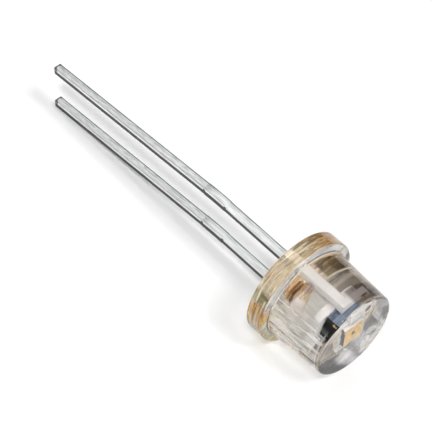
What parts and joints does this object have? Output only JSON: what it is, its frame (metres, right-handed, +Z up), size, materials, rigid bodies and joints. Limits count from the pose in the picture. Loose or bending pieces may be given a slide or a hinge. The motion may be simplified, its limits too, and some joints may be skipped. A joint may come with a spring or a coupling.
{
  "type": "avalanche photodiode",
  "caption": "Avalanche photodiode in a clear flat-topped epoxy body with a flange and a pair of parallel leads, lying on the flat of its flange.",
  "frame": {"origin": "middle of the flat on the flange, on the surface that the part lies on", "axes": "+X along the body's axis and out of the window, so the leads run towards -X; +Z up, away from the flange's flat and through the plane of the leads; +Y to the left of +X"},
  "size_m": [0.0218, 0.0058, 0.0055],
  "materials": {
    "clear_epoxy": "gloss",
    "tinned_copper": "satin",
    "silicon": "polished",
    "silver_adhesive": "matte",
    "gold_wire": "polished"
  },
  "bodies": {
    "root": {"epoxy_body": "clear_epoxy", "cathode_lead": "tinned_copper", "anode_lead": "tinned_copper", "photodiode_chip": "silicon", "die_attach": "silver_adhesive", "bond_wire": "gold_wire"}
  },
  "joints": []
}
